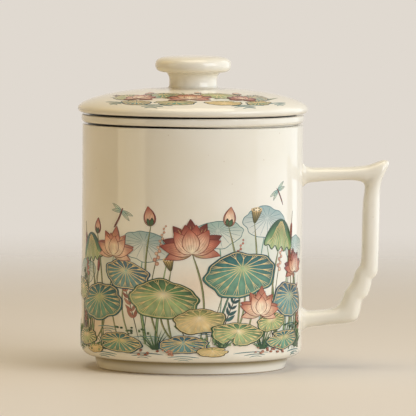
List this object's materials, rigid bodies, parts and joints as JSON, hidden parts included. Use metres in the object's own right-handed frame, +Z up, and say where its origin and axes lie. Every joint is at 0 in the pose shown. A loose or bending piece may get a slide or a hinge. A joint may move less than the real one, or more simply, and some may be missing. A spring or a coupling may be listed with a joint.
{
  "type": "tea infuser mug",
  "caption": "Straight-sided glazed porcelain mug with an angular handle, a lift-out ceramic strainer basket hung on its rim and a domed lift-off lid with a mushroom knob.",
  "frame": {"origin": "on the mug's axis, in the plane of the foot ring that stands on the table", "axes": "+Z up along the mug's axis, +X from the axis through the handle, +Y away from the viewer of the picture"},
  "size_m": [0.1199, 0.0886, 0.1199],
  "materials": {
    "body_glaze": "glossy ivory glaze with raised enamel decoration",
    "infuser_glaze": "glossy ivory glaze",
    "lid_glaze": "glossy ivory glaze with raised enamel decoration"
  },
  "bodies": {
    "mug": {"mug_body": "body_glaze", "handle": "body_glaze"},
    "infuser": {"infuser_basket": "infuser_glaze"},
    "lid": {"lid": "lid_glaze", "lid_knob": "lid_glaze"}
  },
  "joints": [
    {"name": "infuser_lift", "type": "slide", "parent": "mug", "child": "infuser", "axis": [0, 0, 1], "range_m": [0, 0.08]},
    {"name": "lid_lift", "type": "slide", "parent": "infuser", "child": "lid", "axis": [0, 0, 1], "range_m": [0, 0.05]}
  ]
}
